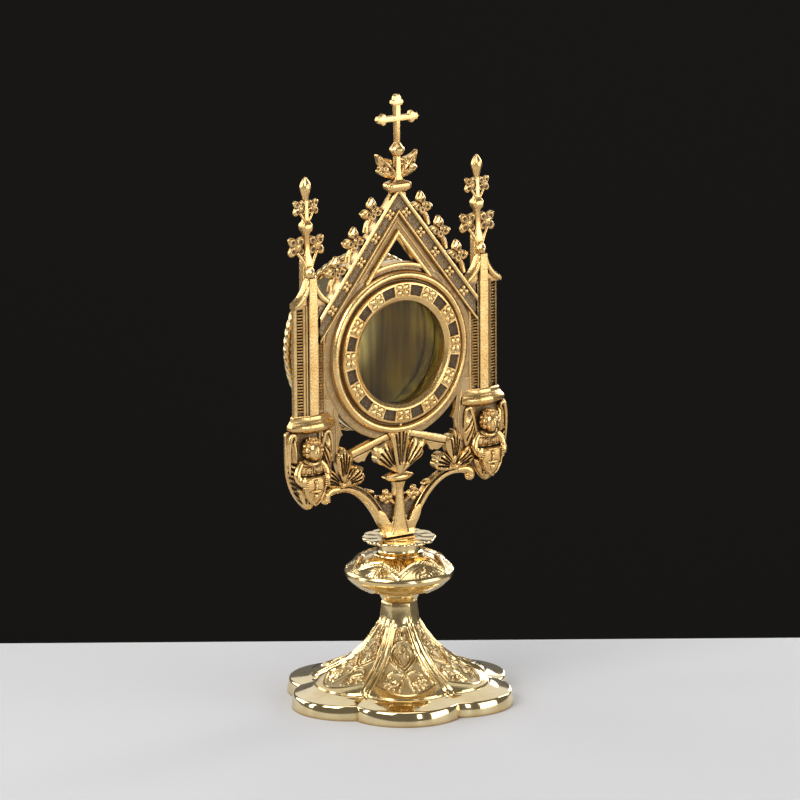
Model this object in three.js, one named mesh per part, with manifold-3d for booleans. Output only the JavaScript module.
// A standing Gothic reliquary of cast and polished brass, in millimetres, +Z up.
// The origin is at the middle of the underside of the foot. The show side faces -Y.
// A six-lobed hollow foot carries a knop, a scalloped washer and one flat casting shaped like a
// church front. Behind its round window sits a hollow drum, closed by a cover with a roped rim.

import * as THREE from 'three';
import { mergeVertices } from 'three/addons/utils/BufferGeometryUtils.js';
import Module from 'manifold-3d';

const wasm = await Module();
wasm.setup();

// ---------------------------------------------------------------- driving dimensions

const HEIGHT = 305;
const GAP = 0.3;

const FOOT = {
  lobes: 6,
  lobeRadius: 59.6,
  notchRadius: 51.5,
  rim: 7.5,
  wall: 2.6,
  top: 50,
  neck: 8.6,
};

const KNOP = { bottom: FOOT.top + GAP, radius: 27.6, middle: 64.5, top: 80.6, petals: 6 };

const DISC = { bottom: KNOP.top + GAP, thickness: 1.4, radius: 18.8, petals: 10 };

const STUB = { bottom: DISC.bottom + DISC.thickness + GAP, halfWidth: 8.8 };

const RING = { middle: 176.2, window: 26, band: 31.5, outer: 44.6, steps: 36, rosettes: 12 };

const PLATE = { back: 3, front: 0, web: 1 };

const GABLE = { slope: 1.26, axisTop: 251.8, foot: 44.4, outer: 4.45, inner: -3.6, channel: 2.35 };

const PILLAR = { axis: 51.4, halfWidth: 9.8, halfBand: 2.6, band: -2.2, face: -1.4, edge: 0.9 };
PILLAR.bottom = 150;
PILLAR.top = 206;

const ANGEL = { axis: 53.5, tip: 103.3, reach: 13 };

const DRUM = { outer: 44, wall: 2, front: PLATE.back + GAP, back: 30.2, flange: 27.5, steps: 28 };

const COVER = { radius: 45.8, front: DRUM.back + GAP, thickness: 4.2, plate: 1.6, lip: 3 };

const GLASS = { radius: 28.2, front: 0.9, thickness: 1.7 };

// ---------------------------------------------------------------- solids, joins and cuts

/** Six times the volume enclosed by a merged geometry, negative when its faces point inwards. */
function signedVolume(geometry) {
  const corner = [new THREE.Vector3(), new THREE.Vector3(), new THREE.Vector3()];
  const { position } = geometry.attributes;
  const index = geometry.index.array;
  let sum = 0;
  for (let i = 0; i < index.length; i += 3) {
    corner.forEach((c, k) => c.fromBufferAttribute(position, index[i + k]));
    sum += corner[0].dot(corner[1].cross(corner[2]));
  }
  return sum;
}

/** A closed solid of any closed geometry, with shared corners merged and its faces outwards. */
function solid(geometry) {
  geometry.deleteAttribute('normal');
  geometry.deleteAttribute('uv');
  const merged = mergeVertices(geometry, 1e-4);
  const faces = [];
  const index = merged.index.array;
  const inward = signedVolume(merged) < 0;
  for (let i = 0; i < index.length; i += 3) {
    const [a, b, c] = [index[i], index[i + 1], index[i + 2]];
    if (a === b || b === c || c === a) continue;
    faces.push(a, inward ? c : b, inward ? b : c);
  }
  return new wasm.Manifold(new wasm.Mesh({
    numProp: 3,
    vertProperties: new Float32Array(merged.attributes.position.array),
    triVerts: new Uint32Array(faces),
  }));
}

/** One solid from a list of overlapping ones. */
function joined(solids) {
  return solids.reduce((whole, piece) => whole.add(piece));
}

/** A solid with every one of a list of solids taken out of it. */
function cut(whole, tools) {
  return tools.reduce((rest, tool) => rest.subtract(tool), whole);
}

/** The triangles of a solid as a geometry. */
function toGeometry(body) {
  const mesh = body.getMesh();
  const geometry = new THREE.BufferGeometry();
  geometry.setAttribute('position', new THREE.BufferAttribute(mesh.vertProperties, 3));
  geometry.setIndex(new THREE.BufferAttribute(mesh.triVerts, 1));
  geometry.computeVertexNormals();
  return geometry;
}

// ---------------------------------------------------------------- shapes

/** An upright slab: an outline of [x, z] corners, between two depths along Y. */
function slab(outline, front, back, side = 1) {
  const shape = new THREE.Shape(outline.map(([x, z]) => new THREE.Vector2(side * x, z)));
  const geometry = new THREE.ExtrudeGeometry(shape, { depth: back - front, bevelEnabled: false });
  geometry.rotateX(Math.PI / 2);
  geometry.translate(0, back, 0);
  return solid(geometry);
}

/** A slab that is the same left and right, from the outline of its right half, bottom to top. */
function evenSlab(half, front, back) {
  const left = half.filter(([x]) => x !== 0).map(([x, z]) => [-x, z]).reverse();
  return slab([...half, ...left], front, back);
}

/** Points [x, z] along a smooth curve through a few chosen ones. */
function smooth(points, steps) {
  const curve = new THREE.SplineCurve(points.map(([x, z]) => new THREE.Vector2(x, z)));
  return curve.getPoints(steps).map((p) => [p.x, p.y]);
}

/**
 * A turned body about the Y axis at a height, from its profile of [radius, y], which starts and
 * ends on the axis, or is closed here to make a ring.
 */
function turnedAcross(profile, middle, steps) {
  const points = profile.map(([radius, y]) => new THREE.Vector2(radius, y));
  const closed = points[0].x > 0 ? [...points, points[0]] : points;
  const geometry = new THREE.LatheGeometry(closed, steps);
  geometry.translate(0, 0, middle);
  return solid(geometry);
}

/** A turned body standing at x, y, from its profile of [radius, z] that starts and ends at 0. */
function turned(profile, steps, x = 0, y = 0, turn = 0) {
  const points = profile.map(([radius, z]) => new THREE.Vector2(radius, z));
  const geometry = new THREE.LatheGeometry(points, steps);
  geometry.rotateX(Math.PI / 2);
  geometry.rotateZ(turn);
  geometry.translate(x, y, 0);
  return solid(geometry);
}

/** A rounded lobe at a place, with its half sizes along X, Y and Z and a lean in the XZ plane. */
function lobe([x, y, z], [rx, ry, rz], lean = 0, rows = 2) {
  const geometry = new THREE.SphereGeometry(1, 6, rows);
  geometry.scale(rx, ry, rz);
  geometry.rotateY(lean);
  geometry.translate(x, y, z);
  return solid(geometry);
}

/** A bar of a few sides through some [x, y, z] places. */
function bar(places, radius, sides = 4) {
  const path = new THREE.CatmullRomCurve3(places.map((p) => new THREE.Vector3(...p)));
  const section = new THREE.Shape();
  for (let i = 0; i < sides; i += 1) {
    const angle = (2 * Math.PI * i) / sides;
    const [u, v] = [radius * Math.cos(angle), radius * Math.sin(angle)];
    if (i === 0) section.moveTo(u, v);
    else section.lineTo(u, v);
  }
  const steps = places.length - 1;
  return solid(new THREE.ExtrudeGeometry(section, { steps, extrudePath: path }));
}

/** A body through rings of [x, y, z] corners, all of one count, closed flat at both ends. */
function loft(rings) {
  const count = rings[0].length;
  const position = rings.flat(2);
  const index = [];
  for (let r = 0; r + 1 < rings.length; r += 1) {
    for (let i = 0; i < count; i += 1) {
      const [a, b] = [r * count + i, r * count + ((i + 1) % count)];
      index.push(a, b, b + count, a, b + count, a + count);
    }
  }
  const last = (rings.length - 1) * count;
  for (let i = 1; i + 1 < count; i += 1) {
    index.push(0, i + 1, i, last, last + i, last + i + 1);
  }
  const geometry = new THREE.BufferGeometry();
  geometry.setAttribute('position', new THREE.Float32BufferAttribute(position, 3));
  geometry.setIndex(index);
  return solid(geometry);
}

/** A tapering vein on a front face, from its root to its tip, raised by its own half width. */
function vein([x, y, z], [tipX, tipZ], half) {
  const length = Math.hypot(tipX - x, tipZ - z);
  const [u, v] = [(tipZ - z) / length, -(tipX - x) / length];
  const section = (px, pz, r) => [
    [px + u * r, y + 0.4, pz + v * r],
    [px - u * r, y + 0.4, pz - v * r],
    [px, y - r, pz]];
  return loft([section(x, z, half * 0.5), section(tipX, tipZ, half)]);
}

/** A body between a ring of [x, y, z] corners and a point on each side of it. */
function spread(ring, top, bottom) {
  const count = ring.length;
  const index = [];
  for (let i = 0; i < count; i += 1) {
    const next = (i + 1) % count;
    index.push(i, next, count, next, i, count + 1);
  }
  const geometry = new THREE.BufferGeometry();
  const position = [...ring, top, bottom].flat();
  geometry.setAttribute('position', new THREE.Float32BufferAttribute(position, 3));
  geometry.setIndex(index);
  return solid(geometry);
}

/** An upright leaf: an outline of [x, z] corners at depth y, raised to a point before its centre
 * and another behind it. */
function boss(outline, [x, z], y, front, back) {
  return spread(outline.map(([u, v]) => [u, y, v]), [x, y - front, z], [x, y + back, z]);
}

/** The outline of a leaf with round lobes: two corners on each lobe and one in each notch. */
function lobed(x, z, radius, lobes, depth, turn = 0, squash = 1) {
  return Array.from({ length: 3 * lobes }, (_, i) => {
    const angle = turn + ((i % 3) * 0.3 - 0.3 + Math.floor(i / 3)) * ((2 * Math.PI) / lobes);
    const reach = radius * (i % 3 === 0 ? 1 - depth : 1);
    const shift = i % 3 === 0 ? -Math.PI / lobes + 0.3 * ((2 * Math.PI) / lobes) : -0.15;
    return [x + reach * Math.cos(angle + shift), z + squash * reach * Math.sin(angle + shift)];
  });
}

/** A stack of rectangles at x, y: each level is [z, half width, half depth]. */
function stack(levels, x, y) {
  return loft(levels.map(([z, wide, deep]) => [
    [x - wide, y - deep, z],
    [x + wide, y - deep, z],
    [x + wide, y + deep, z],
    [x - wide, y + deep, z],
  ]));
}

/** A four-petalled rosette: a square with a notch in each side, turned by an angle. */
function rosette(x, z, half, y, angle) {
  const outline = Array.from({ length: 8 }, (_, k) => {
    const reach = half * (k % 2 === 0 ? 0.82 : 1.32);
    const turn = angle + (k * Math.PI) / 4;
    return [x + reach * Math.cos(turn), z + reach * Math.sin(turn)];
  });
  return boss(outline, [x, z], y, 0.9, 0.9);
}

// ---------------------------------------------------------------- foot

/** Radius of a six-lobed outline in a direction, where each lobe is an arc of a circle. */
function foil(angle, lobe, notch) {
  const sector = Math.PI / FOOT.lobes;
  const off = ((((angle % (2 * sector)) + 2 * sector) % (2 * sector)) - sector);
  const chord = notch * Math.sin(sector);
  const rise = lobe - notch * Math.cos(sector);
  const arc = (chord * chord + rise * rise) / (2 * rise);
  const centre = lobe - arc;
  return centre * Math.cos(off) + Math.sqrt(arc * arc - (centre * Math.sin(off)) ** 2);
}

/** The height of the foot's side at a radius: a hollow curve, flat at the rim, steep at the neck. */
function footSide(radius) {
  return 1153 / (radius + 14.6) - 7.9;
}

/**
 * A turned body whose rings are pushed from a circle towards the six-lobed outline. Rings of the
 * sloping side follow its height at their new radius, and are raised to a rib on each notch line.
 */
function foilBody(profile, stepsPerLobe, slopeRings, rib) {
  const points = profile.map(([radius, z]) => new THREE.Vector2(radius, z));
  const geometry = new THREE.LatheGeometry(points, stepsPerLobe * FOOT.lobes);
  geometry.rotateX(Math.PI / 2);
  geometry.rotateZ(-Math.PI / 2);
  const place = geometry.attributes.position;
  const ratio = FOOT.notchRadius / FOOT.lobeRadius;
  for (let i = 0; i < place.count; i += 1) {
    const [x, y, z] = [place.getX(i), place.getY(i), place.getZ(i)];
    const radius = Math.hypot(x, y);
    if (radius < 1e-6) continue;
    const angle = Math.atan2(y, x) + Math.PI / 2;
    const share = THREE.MathUtils.smoothstep(radius, FOOT.neck, 30);
    const reach = radius + share * (foil(angle, radius, radius * ratio) - radius);
    const onSlope = slopeRings.some((ring) => Math.abs(ring - radius) < 0.01);
    const onRib = Math.abs(Math.sin((FOOT.lobes / 2) * angle)) < 0.01;
    const height = onSlope ? footSide(reach) + (onRib ? rib : 0) : z;
    place.setXYZ(i, (x * reach) / radius, (y * reach) / radius, height);
  }
  return solid(geometry);
}

function foot() {
  const { lobes, lobeRadius, rim, wall, top, neck } = FOOT;
  const slope = [45.5, 36, 27, 20, 14.5, 10.6];
  const outer = [[0, 0], [lobeRadius, 0], [lobeRadius - 1.2, rim], [46.6, rim + 1.2],
    ...slope.map((radius) => [radius, 0]), [9.2, 44], [neck, 47], [neck, top], [0, top]];
  const inner = [[0, -1], [lobeRadius - wall, -1], [lobeRadius - wall - 1, rim - wall],
    [43, 6.6], [30, 13], [20, 19.5], [11, 28], [0, 32]];
  const body = foilBody(outer, 5, slope, 1).subtract(foilBody(inner, 3, [], 0));
  // Half of a palmette: [radius, sideways] from its root near the rim to its tip.
  const half = [[41.6, 0], [41.2, 6], [38, 11], [33.6, 8.6], [30, 8.8], [27.4, 5.6], [23, 4.4],
    [18.5, 0]];
  const other = half.slice(1, -1).reverse().map(([r, t]) => [r, -t]);
  const palmettes = Array.from({ length: lobes }, (_, k) => {
    const angle = (2 * Math.PI * (k + 0.5)) / lobes - Math.PI / 2;
    const place = (r, t, lift) => [
      r * Math.cos(angle) - t * Math.sin(angle),
      r * Math.sin(angle) + t * Math.cos(angle),
      footSide(Math.hypot(r, t)) + lift];
    const outline = [...half, ...other].map(([r, t]) => place(r, t, 0.3));
    return spread(outline, place(33, 0, 2), place(33, 0, -1.2));
  });
  return joined([body, ...palmettes]);
}

// ---------------------------------------------------------------- knop and washer

function knop() {
  const { bottom, radius, middle, top, petals } = KNOP;
  const profile = [[0, bottom], [8.8, bottom], [10.3, bottom + 3.6], [11, 54.6], [20, 57],
    [25.8, 60.6], [radius, middle], [25.8, 68.2], [20, 71.6], [11.4, 73.8], [8.8, 77.4],
    [8.8, top], [0, top]];
  const points = profile.map((p) => new THREE.Vector2(...p));
  const geometry = new THREE.LatheGeometry(points, 4 * petals);
  geometry.rotateX(Math.PI / 2);
  const place = geometry.attributes.position;
  for (let i = 0; i < place.count; i += 1) {
    const [x, y, z] = [place.getX(i), place.getY(i), place.getZ(i)];
    const belly = Math.hypot(x, y) > 15 ? 1 : 0;
    const petal = Math.cos(petals * Math.atan2(y, x));
    place.setXYZ(i, x, y, z + Math.sign(z - middle) * belly * 0.7 * petal);
  }
  return solid(geometry);
}

function disc() {
  const { bottom, thickness, radius, petals } = DISC;
  const profile = [[0, bottom], [radius, bottom], [radius, bottom + thickness],
    [0, bottom + thickness]];
  const points = profile.map((p) => new THREE.Vector2(...p));
  const geometry = new THREE.LatheGeometry(points, 4 * petals);
  geometry.rotateX(Math.PI / 2);
  const place = geometry.attributes.position;
  for (let i = 0; i < place.count; i += 1) {
    const [x, y] = [place.getX(i), place.getY(i)];
    const petal = Math.abs(Math.cos((petals / 2) * Math.atan2(y, x)));
    const scale = 1 - 0.09 * (1 - petal ** 0.5);
    place.setXY(i, x * scale, y * scale);
  }
  return solid(geometry);
}

// ---------------------------------------------------------------- front: ring and gable

function ring() {
  const { window, outer, middle, steps } = RING;
  const seat = GLASS.radius + GAP;
  const shelf = GLASS.front - GAP;
  const profile = [[window, shelf], [window, -3.4], [28.2, -5], [34.8, -5], [36.4, -1.6],
    [38, -2.6], [39.8, -3.4], [41.6, -1.6], [outer, -1.8], [outer, PLATE.back],
    [seat, PLATE.back], [seat, shelf]];
  const body = turnedAcross(profile, middle, steps);
  const flowers = [];
  for (let k = 0; k < RING.rosettes; k += 1) {
    const angle = (2 * Math.PI * k) / RING.rosettes;
    const [x, z] = [RING.band * Math.sin(angle), middle + RING.band * Math.cos(angle)];
    flowers.push(rosette(x, z, 3, -5.1, -angle));
  }
  return joined([body, ...flowers]);
}

/** Height of a line parallel to the gable's axis, at a distance outside it. */
function rake(x, offset) {
  const rise = offset * Math.hypot(1, GABLE.slope);
  return GABLE.axisTop + rise - GABLE.slope * Math.abs(x);
}

/** A pair of sloping bars between two distances from the gable's axis. */
function chevron(outer, inner, foot, front, back) {
  return evenSlab([[0, rake(0, inner)], [foot, rake(foot, inner)], [foot, rake(foot, outer)],
    [0, rake(0, outer)]], front, back);
}

function gable() {
  const { outer, inner, channel, foot: end } = GABLE;
  const { middle } = RING;
  const field = evenSlab([[0, 150], [end, 150], [end, rake(end, outer)], [0, rake(0, outer)]],
    PLATE.front, PLATE.back);
  const hole = turnedAcross([[0, -4], [42, -4], [42, 4], [0, 4]], middle, RING.rosettes);
  const eyeTop = 234.4;
  const eyeHalf = 12.2;
  const arc = [1, 0.66, 0.33, 0].map((k) => [
    k * eyeHalf, middle + Math.sqrt(RING.outer ** 2 - (k * eyeHalf) ** 2) - 0.4]);
  const eye = evenSlab([...arc.reverse(), [0, eyeTop]], -4, 4);
  const pieces = [
    field.subtract(hole),
    chevron(outer, channel, end, -2.4, PLATE.back),
    chevron(outer, inner, end, -1, PLATE.back),
    chevron(-channel, inner, end, -2.2, PLATE.back),
    chevron(-8.9, -10.8, 19.5, -1.6, PLATE.back),
  ];
  const spacing = 8.67;
  const run = 4.9;
  for (let k = 0; k < 5; k += 1) {
    [-1, 1].forEach((side) => {
      const x = side * (run + k * spacing);
      pieces.push(rosette(x, rake(x, 0), 2.3, -1.4, Math.atan(GABLE.slope)));
    });
  }
  return joined(pieces).subtract(eye);
}

/** A curled leaf on the gable's edge: a pointed tip between two side lobes on a stalk. */
function crocket(step, side) {
  const [x, z] = [15 + 10.8 * step, 248.4 - 13.4 * step];
  const y = 0.3;
  const leaf = [[1.6, -5.4], [-1.6, -3.6], [-5.2, -2.4], [-5.6, 1], [-3.2, 2.2], [-1.8, 1.8],
    [-2, 4.2], [0.2, 6], [1.8, 3.6], [1.8, 1.4], [4.4, 1.4], [5.6, -0.8], [4.6, -3.6]];
  const outline = leaf.map(([u, v]) => [side * (x + u), z + v]);
  return joined([
    bar([[side * (x + 3.2), y, z - 9.6], [side * (x + 1.8), y, z - 3]], 1.5),
    boss(outline, [side * x, z - 0.6], y, 3, 2.6),
  ]);
}

function crown() {
  const y = -0.6;
  const moulding = stack([[251, 4.8, 2.4], [256, 5, 2.5], [258.4, 6.9, 3.4], [260.8, 6.9, 3.4],
    [262, 5.4, 2.8], [264, 2.2, 1.8], [274.5, 1.6, 1.5]], 0, y);
  const knot = turned([[0, 273.2], [1.9, 273.6], [4.6, 277.6], [2.2, 281.2], [0, 281.8]],
    6, 0, y);
  const leaf = [[0.6, 263], [4.6, 264], [8.4, 265.8], [11.2, 266.6], [11.4, 269.4], [10, 270.6],
    [11.8, 272.4], [11.6, 276.2], [8.4, 274], [5.2, 272.8], [2.6, 271.6], [3.4, 268.4]];
  const leaves = [-1, 1].map((side) => (
    boss(leaf.map(([x, z]) => [side * x, z]), [side * 7, 269.6], y, 3, 3)));
  const half = [[0, 280], [1.3, 280], [1.5, 291.4], [6.8, 291.5], [8.2, 289.9], [9.8, 290.4],
    [12, 293], [9.8, 295.6], [8.2, 296.2], [6.8, 294.5], [1.6, 294.5], [1.7, 299.6],
    [3.5, 301], [3, 303.4], [0, HEIGHT]];
  return joined([moulding, knot, ...leaves, evenSlab(half, y - 1.4, y + 1.4)]);
}

// ---------------------------------------------------------------- front: pillars

/** A slab whose outline is given from a pillar's axis. */
function onPillar(outline, front, back, side) {
  return slab(outline.map(([x, z]) => [PILLAR.axis + x, z]), front, back, side);
}

/** The three-sided plan of a pillar or of its capital, wider by a margin, at a height. */
function pillarPlan(z, margin, side) {
  const { axis, halfWidth, halfBand, band, face, edge } = PILLAR;
  const wide = halfWidth + margin;
  const front = band - margin * 0.7;
  const half = [[wide, PLATE.back], [wide, edge - margin * 0.7],
    [halfBand + margin * 0.3, margin > 0 ? front : face], [halfBand + margin * 0.3, front]];
  const ring = [...half, ...half.map(([x, y]) => [-x, y]).reverse()];
  return ring.map(([x, y]) => [side * (axis + x), y, z]);
}

/** The grooves between the reeds of a strip on a pillar's sloping face, as one cutting tool. */
function grooves(from, to, low, high, side, hand) {
  const { axis, halfBand, halfWidth, face, edge } = PILLAR;
  const lean = Math.atan2(edge - face, halfWidth - halfBand);
  const pitch = 3.1;
  const count = Math.round((high - low) / pitch);
  const step = (high - low) / count;
  const profile = [[-1, low]];
  for (let i = 0; i < count; i += 1) {
    profile.push([-0.3, low + i * step], [0.9, low + (i + 0.5) * step]);
  }
  profile.push([-0.3, high], [-1, high]);
  const shape = new THREE.Shape(profile.map(([sunk, z]) => new THREE.Vector2(sunk, z)));
  const geometry = new THREE.ExtrudeGeometry(shape, { depth: to - from, bevelEnabled: false });
  const place = geometry.attributes.position;
  for (let i = 0; i < place.count; i += 1) {
    const [sunk, z, along] = [place.getX(i), place.getY(i), from + place.getZ(i)];
    const x = halfBand + along * Math.cos(lean) - sunk * Math.sin(lean);
    const y = face + along * Math.sin(lean) + sunk * Math.cos(lean);
    place.setXYZ(i, side * (axis + hand * x), y, z);
  }
  return solid(geometry);
}

function pillar(side) {
  const { bottom, top, band } = PILLAR;
  const shaft = loft([pillarPlan(bottom, 0, side), pillarPlan(top, 0, side)]);
  const strips = [[2.8, 5.9, 153, 203, 1], [0.9, 4.3, 153, 193, -1]];
  const cuts = strips.map(([from, to, low, high, hand]) => (
    grooves(from, to, low, high, side, hand)));
  const levels = [[143, 1.4], [144.6, 1.8], [145.8, 3.1], [147.2, 3.1], [148.4, 2.1], [150.6, 1]];
  const capital = loft(levels.map(([z, margin]) => pillarPlan(z, margin, side)));
  const gablet = onPillar([[-10.4, 204.4], [10.4, 204.4], [10.4, 207.2], [6.4, 210.8], [3.6, 215],
    [2.2, 219], [-2.2, 219], [-3.6, 215], [-6.4, 210.8], [-10.4, 207.2]], band + 0.8, PLATE.back, side);
  const eyelet = onPillar([[-8.4, 206.4], [-4.2, 206.6], [-4.2, 199.6]], -3, -0.2, side);
  return joined([cut(shaft, cuts), capital, gablet]).subtract(eyelet);
}

/** A pair of four-lobed leaves, one each way, on two stalks that spread from below. */
function leafCross(x, y, z, reach, size, squash) {
  return [-1, 1].flatMap((hand) => {
    const middle = x + hand * reach;
    return [
      bar([[x, y, z - 5.4], [x + hand * (reach - 1.6), y, z - 0.6]], 1.1, 3),
      boss(lobed(middle, z, size, 4, 0.34, Math.PI / 4, squash), [middle, z], y, 2.8, 2.8),
    ];
  });
}

function pinnacle(side) {
  const x = side * PILLAR.axis;
  const y = 4;
  const spire = stack([[204, 2.9, 2.9], [229, 2.7, 2.7], [232, 1.7, 1.8], [241, 1.6, 1.7],
    [243.2, 2.8, 2.8], [245.4, 2.8, 2.8], [247.6, 1.4, 1.5], [258, 1.1, 1.1]], x, y);
  const bud = turned([[0, 256.6], [1.3, 257], [2.7, 262.4], [2.8, 266], [0, 268.9]], 6, x, y);
  const knob = turned([[0, 218], [2.1, 219], [2.4, 221.4], [1.2, 224.4], [0, 225.4]], 6, x, -0.6);
  return joined([spire, bud, knob, ...leafCross(x, y, 234.4, 6, 5.4, 0.88),
    ...leafCross(x, y, 253.4, 4.1, 3.8, 1.25)]);
}

// ---------------------------------------------------------------- front: angels

function angel(side) {
  const { axis, tip, reach } = ANGEL;
  const depth = 1.2;
  const at = (x, y, z) => [side * (axis + x), y + depth, z];
  const part = (outline, front, back) => (
    slab(outline.map(([x, z]) => [axis + x, z]), front + depth, back + depth, side));
  const backing = part([[reach - 1, 144], [reach, 140], [reach - 0.3, 122], [9.4, 113], [5.4, 107],
    [0.6, tip], [-2.6, 105.4], [-7, 111.4], [-13.5, 119], [-15.5, 130], [-15.5, 144]],
  PLATE.web - depth, PLATE.back - depth);
  const wing = (outline, [x, z], lift) => (
    boss(outline.map(([u, v]) => [side * (axis + u), v]), [side * (axis + x), z], depth - 1,
      lift, 2));
  const nearWing = wing([[reach - 1.6, 141.6], [reach - 0.4, 137], [reach - 0.4, 123], [9.8, 114],
    [5.6, 107.6], [0.4, tip + 0.8], [1.6, 112], [5.6, 120], [7, 131], [7.4, 139.6]], [9.4, 130], 2.8);
  const farWing = wing([[-7.6, 140], [-10.4, 141.8], [-13.4, 140], [-14.2, 133], [-13, 124],
    [-8, 118], [-5, 124], [-6.6, 132]], [-10, 131], 2.6);
  const quills = [0, 1, 2, 3].map((k) => {
    const z = 124 - 4.2 * k;
    const out = reach - 1.2 - 0.5 * k * k;
    return vein(at(out - 5, -2.7, z + 2.4), [side * (axis + out), z], 1);
  });
  const torso = lobe(at(0, -2.4, 123.4), [6.8, 4.4, 7.4], 0, 3);
  const head = lobe(at(0, -6.6, 134.4), [3.8, 4.2, 4.9], 0, 4);
  const hair = boss(lobed(side * axis, 135.4, 6, 7, 0.16), [side * axis, 135],
    depth - 4.6, 3.6, 4);
  const neck = bar([at(0, -3, 126), at(0, -5.6, 131)], 2);
  const arms = [-1, 1].map((hand) => (
    bar([at(hand * 4.6, -3.4, 128), at(hand * 7.6, -5, 123.6), at(hand * 5.4, -6.8, 120)], 1.9)));
  const shield = part([[-6, 121.2], [6, 121.2], [6.2, 115.6], [4.6, 110.4], [0, 105.2],
    [-4.6, 110.4], [-6.2, 115.6]], -7.4, -2.6);
  const charge = part([[-2.6, 117.8], [2.6, 117.8], [2.6, 115.2], [0, 111.6], [-2.6, 115.2]],
    -8.1, -7);
  return joined([backing, nearWing, farWing, ...quills, torso, neck, head, hair,
    ...arms, shield, charge]);
}

// ---------------------------------------------------------------- front: bracket and leaves

/** Raised veins that spread over a leaf from its root to points near its edge. */
function veins(root, tips, half) {
  return tips.map((tip) => vein(root, tip, half));
}

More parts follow.
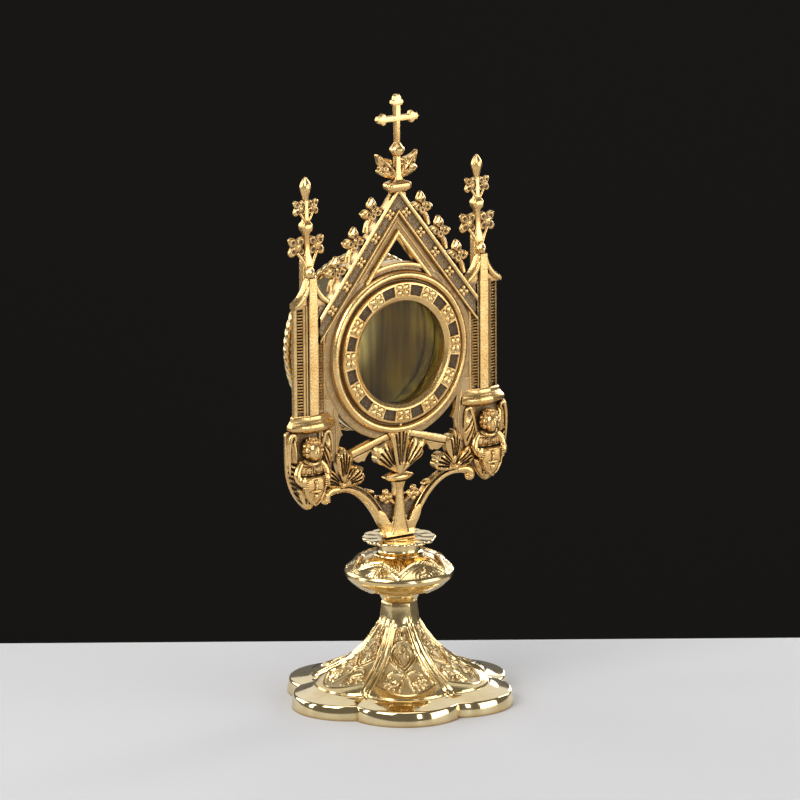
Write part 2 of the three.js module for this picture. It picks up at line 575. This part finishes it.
function bracket() {
  const under = [[STUB.halfWidth, STUB.bottom + 2.6], [10.3, 86.6], [12.2, 90.4], [14.9, 95.2],
    [18, 99.6], [22, 103.8], [26.4, 107], [31.4, 109], [37, 109.7], [42.6, 107.4]];
  const over = [[43.4, 111.6], [37, 113.6], [29, 112.8], [21.8, 109.4], [15.8, 104.6],
    [11, 98.6], [7.6, 93], [5, 88.6]];
  const arm = [...smooth(under, 9), ...smooth(over, 6), [0, 86], [0, STUB.bottom + 2.6]];
  const stub = loft([[0, 8.9, -4.2], [1.6, 8.9, -4.2], [3.4, 8.6, -2.2], [6.4, 8.6, -0.8]].map(
    ([rise, wide, front]) => [[-wide, front], [wide, front], [wide, 2.6], [-wide, 2.6]].map(
      ([x, y]) => [x, y, STUB.bottom + rise])));
  const web = evenSlab([[0, 88], [8, 92], [13, 101], [13, 104], [4, 102.8], [0, 102]],
    PLATE.web, PLATE.back);
  const stem = evenSlab([[0, 86], [4.6, 88], [3.4, 95], [2.2, 102], [1.9, 113], [1.7, 118]],
    -1.6, PLATE.back);
  const collar = evenSlab([[0, 109.6], [4.4, 110.8], [8.6, 113], [5, 114.4], [0, 115.2]],
    -3.4, 1);
  const top = evenSlab([[0, 114], [2.4, 119], [4, 127], [5.4, 133.6], [7, 136.6], [4.4, 138],
    [2.2, 140.4], [0, 141]], -2.8, PLATE.back);
  const strips = [stub, web, stem, collar, top];
  strips.push(...veins([0, -2.8, 116], [[-4.2, 136], [0, 139], [4.2, 136]], 0.9));
  [-1, 1].forEach((side) => {
    const part = (outline, front, back) => slab(outline, front, back, side);
    strips.push(
      part(arm, -0.8, PLATE.back),
      part([[6, 136], [15, 133.4], [29, 129.2], [34, 127.6], [34, 123.4], [27, 125], [24, 123.6],
        [20.6, 123.8], [16.8, 127.8], [9, 130]], -0.6, PLATE.back),
      part([[1.5, 115], [6, 118.6], [10.4, 120.4], [13.2, 122], [14.4, 125], [15.4, 128.2],
        [12, 129.8], [6.6, 131], [2.6, 124]], -2.4, PLATE.back),
      part([[33.4, 113.4], [27, 112.8], [23, 113.6], [21.4, 116.6], [22.8, 120.4], [26, 122],
        [28.2, 126], [29, 130], [32, 131.4], [36.4, 131.4], [39, 127], [43.6, 122],
        [44.6, 118], [42, 114]], -1.8, PLATE.back),
      part([[35.6, 128], [47, 128], [47, 151], [36, 151], [35.4, 141.4], [32.8, 138],
        [35, 135]], PLATE.front, PLATE.back),
      ...veins([side * 1.6, -2.4, 117], [[side * 10.6, 122.4], [side * 12.4, 127]], 0.9),
      ...veins([side * 33.4, -1.8, 114.6], [[side * 24, 117.6], [side * 31, 129],
        [side * 35.6, 128.6], [side * 42, 119]], 1),
      lobe([side * 43.4, 0.6, 107.8], [2.8, 2.8, 2.8], 0, 3),
      boss(lobed(side * 8, 103.2, 3.8, 3, 0.4, Math.PI / 6), [side * 8, 103.2], 0.4, 2.6, 1.6),
    );
  });
  return joined(strips);
}

function facade() {
  const sides = [-1, 1].flatMap((side) => [
    pillar(side),
    pinnacle(side),
    angel(side),
    crocket(0, side),
    crocket(1, side),
    crocket(2, side),
  ]);
  return joined([gable(), ring(), crown(), bracket(), ...sides]);
}

// ---------------------------------------------------------------- relic case

function drum() {
  const { outer, wall, front, back, flange } = DRUM;
  const inner = outer - wall;
  return turnedAcross([[flange, front], [outer, front], [outer, back], [inner, back],
    [inner, front + wall], [flange, front + wall]], RING.middle, DRUM.steps);
}

function backCover() {
  const { radius, front, thickness, plate, lip } = COVER;
  const inside = DRUM.outer - DRUM.wall - GAP;
  const back = front + thickness;
  return turnedAcross([[0, back - plate], [inside - 2, back - plate], [inside - 2, front - lip],
    [inside, front - lip], [inside, front], [radius - 1, front], [radius, front + 2.2],
    [radius - 1, back], [radius - 3.6, back - 0.7], [0, back - 0.7]], RING.middle, DRUM.steps);
}

function glass() {
  const { radius, front, thickness } = GLASS;
  return turnedAcross([[0, front], [radius, front], [radius, front + thickness],
    [0, front + thickness]], RING.middle, DRUM.steps);
}

// ---------------------------------------------------------------- the part

const brass = { color: '#c8963e', roughness: 0.28, metalness: 1 };
const clear = { color: '#dfe6e2', roughness: 0.02, metalness: 0, transparent: true, opacity: 0.35 };

const reliquary = new THREE.Group();
const pieces = [
  ['foot', foot(), brass],
  ['knop', knop(), brass],
  ['collar_disc', disc(), brass],
  ['facade', facade(), brass],
  ['drum', drum(), brass],
  ['back_cover', backCover(), brass],
  ['window_glass', glass(), clear],
];
pieces.forEach(([name, body, finish]) => {
  const mesh = new THREE.Mesh(
    toGeometry(body),
    new THREE.MeshStandardMaterial(finish),
  );
  mesh.name = name;
  reliquary.add(mesh);
});

export default reliquary;
